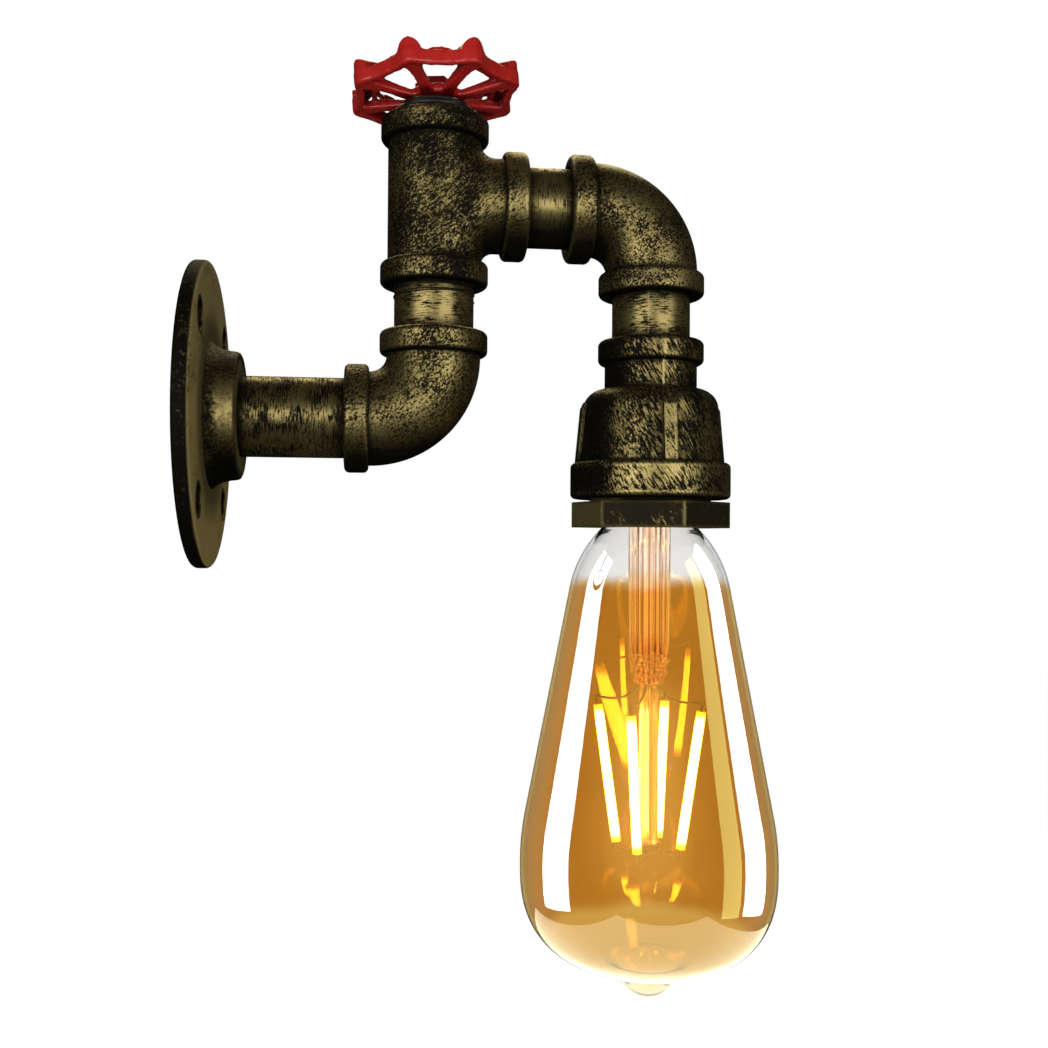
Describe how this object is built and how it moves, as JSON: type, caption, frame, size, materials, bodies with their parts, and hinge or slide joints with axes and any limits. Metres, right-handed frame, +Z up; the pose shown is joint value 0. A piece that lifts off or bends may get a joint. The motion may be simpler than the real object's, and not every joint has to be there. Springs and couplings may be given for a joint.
{
  "type": "pipe wall light",
  "caption": "Wall light of bronzed pipe nipples and cast fittings, with a red valve wheel that turns on the tee and an amber filament bulb hanging from a hooded lampholder.",
  "frame": {"origin": "centre of the flange's back, on the wall plane", "axes": "+X points away from the wall into the room, +Z is up, and the arm lies in the plane Y = 0 with -Y on the camera's side"},
  "size_m": [0.1565, 0.08, 0.2518],
  "materials": {
    "bronzed_casting": "malleable iron casting, near-black brown paint dry-brushed with khaki gold, rough",
    "bronzed_pipe": "steel pipe, brown paint rubbed with gold round the pipe, a seam along it",
    "black_steel": "black oxide, lightly oiled",
    "red_enamel": "thick glossy red enamel on a casting",
    "phenolic": "moulded black phenolic",
    "brass": "bright rolled brass",
    "black_plastic": "moulded black",
    "lead_sheath": "extruded white sheath",
    "amber_glass": "clear blown glass with a gold lustre, paler at the neck",
    "clear_glass": "clear drawn glass",
    "board": "lacquered circuit board",
    "wire": "bare wire",
    "filament": "phosphor-coated stick, lit"
  },
  "bodies": {
    "pipework": {"wall_flange": "bronzed_casting", "wall_nipple": "bronzed_pipe", "lower_elbow": "bronzed_casting", "riser_nipple": "bronzed_pipe", "tee": "bronzed_casting", "cross_nipple": "bronzed_pipe", "upper_elbow": "bronzed_casting", "drop_nipple": "bronzed_pipe", "reducer": "bronzed_casting", "lock_ring": "bronzed_casting", "top_plug": "black_steel", "wheel_spindle": "black_steel", "wheel_washer": "red_enamel", "wheel_nut": "red_enamel", "lampholder_body": "phenolic", "lampholder_shell": "brass", "lampholder_contact": "brass", "terminal_screws": "brass", "cord_grip": "black_plastic", "supply_lead": "lead_sheath"},
    "wheel": {"valve_wheel": "red_enamel"},
    "bulb_foot": {"bulb_insulator": "black_plastic", "bulb_tip": "brass"},
    "bulb": {"bulb_glass": "amber_glass", "bulb_cap": "brass", "bulb_stem": "clear_glass", "bulb_driver": "board", "lead_in_wires": "wire", "led_filaments": "filament", "upper_wires": "wire", "lower_wires": "wire"}
  },
  "joints": [
    {"name": "wheel_turn", "type": "hinge", "parent": "pipework", "child": "wheel", "pos_m": [0.06185, 0.00018, 0.08689], "axis": [-0.0729, 0.0906, 0.9932], "continuous": true},
    {"name": "bulb_travel", "type": "slide", "parent": "pipework", "child": "bulb_foot", "axis": [0, 0, -1], "range_m": [0, 0.01452]},
    {"name": "bulb_turn", "type": "hinge", "parent": "bulb_foot", "child": "bulb", "pos_m": [0.1215, 0, 0], "axis": [0, 0, -1], "range_deg": [0, 1440]}
  ],
  "couplings": [
    {"joint": "bulb_travel", "follows": "bulb_turn", "m_per_rad": 0.00057751}
  ]
}
